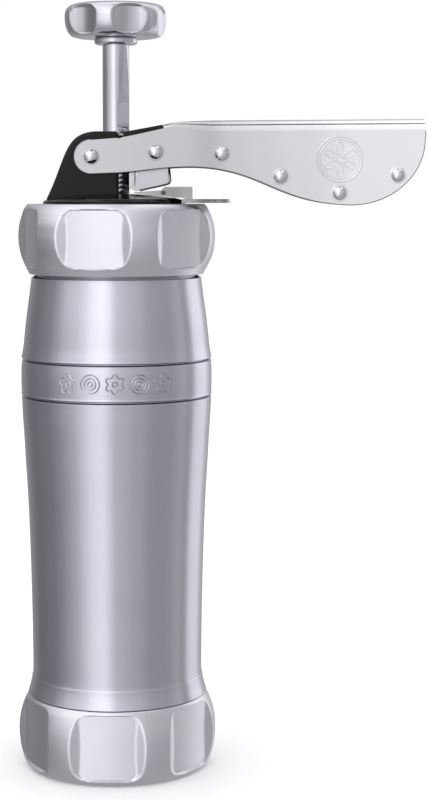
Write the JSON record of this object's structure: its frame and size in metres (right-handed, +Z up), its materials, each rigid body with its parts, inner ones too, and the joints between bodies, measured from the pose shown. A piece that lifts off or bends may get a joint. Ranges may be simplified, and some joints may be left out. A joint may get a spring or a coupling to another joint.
{
  "type": "cookie press",
  "caption": "Upright hand cookie press: barrel with two scalloped ring nuts, die disc, squeeze lever, toothed plunger rod with lobed knob.",
  "frame": {"origin": "on the barrel's axis, in the plane of the bottom rim that the press stands on, about 1 mm below the die's lower face", "axes": "+Z up along the barrel and plunger, +X along the lever, +Y away from the side pictured"},
  "size_m": [0.1268, 0.0608, 0.2393],
  "materials": {
    "body_aluminium": "satin anodised",
    "knob_aluminium": "polished",
    "disc_aluminium": "turned",
    "black_plastic": "gloss",
    "white_plastic": "satin",
    "steel": "plain",
    "brushed_sheet": "brushed",
    "spring_wire": "drawn wire",
    "lever_steel": "satin bright",
    "chrome": "polished"
  },
  "bodies": {
    "barrel": {"barrel": "body_aluminium"},
    "die_seat": {"forming_die": "disc_aluminium"},
    "bottom_ring": {"bottom_ring_nut": "body_aluminium"},
    "head": {"head_housing": "black_plastic", "rod_guide_bush": "white_plastic", "bush_screw_1": "steel", "bush_screw_2": "steel", "bush_screw_3": "steel", "lever_return_spring": "spring_wire"},
    "top_ring": {"top_ring_nut": "body_aluminium"},
    "selector": {"selector_plate": "brushed_sheet"},
    "lever": {"lever_shell": "lever_steel", "lever_liner": "black_plastic", "lever_pivot_pin": "chrome", "pawl_pin": "chrome", "grip_rivet_1": "chrome", "grip_rivet_2": "chrome", "grip_rivet_3": "chrome", "grip_rivet_4": "chrome"},
    "pawl": {"pawl": "steel", "pawl_spring": "spring_wire"},
    "piston": {"piston_disc": "disc_aluminium"},
    "rod": {"plunger_rod": "chrome", "knob": "knob_aluminium", "knob_bush": "chrome", "piston_screw": "steel"}
  },
  "joints": [
    {"name": "die_drop", "type": "slide", "parent": "barrel", "child": "die_seat", "axis": [0, 0, -1], "range_m": [0, 0.006]},
    {"name": "bottom_ring_unscrew", "type": "hinge", "parent": "die_seat", "child": "bottom_ring", "pos_m": [0, 0, 0], "axis": [0, 0, 1], "range_deg": [0, 540]},
    {"name": "head_lift", "type": "slide", "parent": "barrel", "child": "head", "axis": [0, 0, 1], "range_m": [0, 0.006]},
    {"name": "top_ring_unscrew", "type": "hinge", "parent": "head", "child": "top_ring", "pos_m": [0, 0, 0.166], "axis": [0, 0, 1], "range_deg": [0, 540]},
    {"name": "selector_swing", "type": "hinge", "parent": "head", "child": "selector", "pos_m": [0, 0, 0.1754], "axis": [0, 0, 1], "range_deg": [-18, 0]},
    {"name": "lever_squeeze", "type": "hinge", "parent": "head", "child": "lever", "pos_m": [-0.0073, 0, 0.1914], "axis": [0, 1, 0], "range_deg": [0, 10], "stiffness_Nm_per_rad": 0.5, "springref_deg": -14.32},
    {"name": "pawl_swing", "type": "hinge", "parent": "lever", "child": "pawl", "pos_m": [0.0126, 0, 0.1928], "axis": [0, 1, 0], "range_deg": [-10, 0]},
    {"name": "plunger_slide", "type": "slide", "parent": "head", "child": "piston", "axis": [0, 0, 1], "range_m": [-0.023, 0.131]},
    {"name": "rod_turn", "type": "hinge", "parent": "piston", "child": "rod", "pos_m": [0, 0, 0.03], "axis": [0, 0, 1], "continuous": true}
  ],
  "couplings": [
    {"joint": "bottom_ring_unscrew", "follows": "die_drop", "rad_per_m": 1570.8},
    {"joint": "top_ring_unscrew", "follows": "head_lift", "rad_per_m": 1570.8},
    {"joint": "pawl_swing", "follows": "lever_squeeze", "ratio": -1}
  ]
}
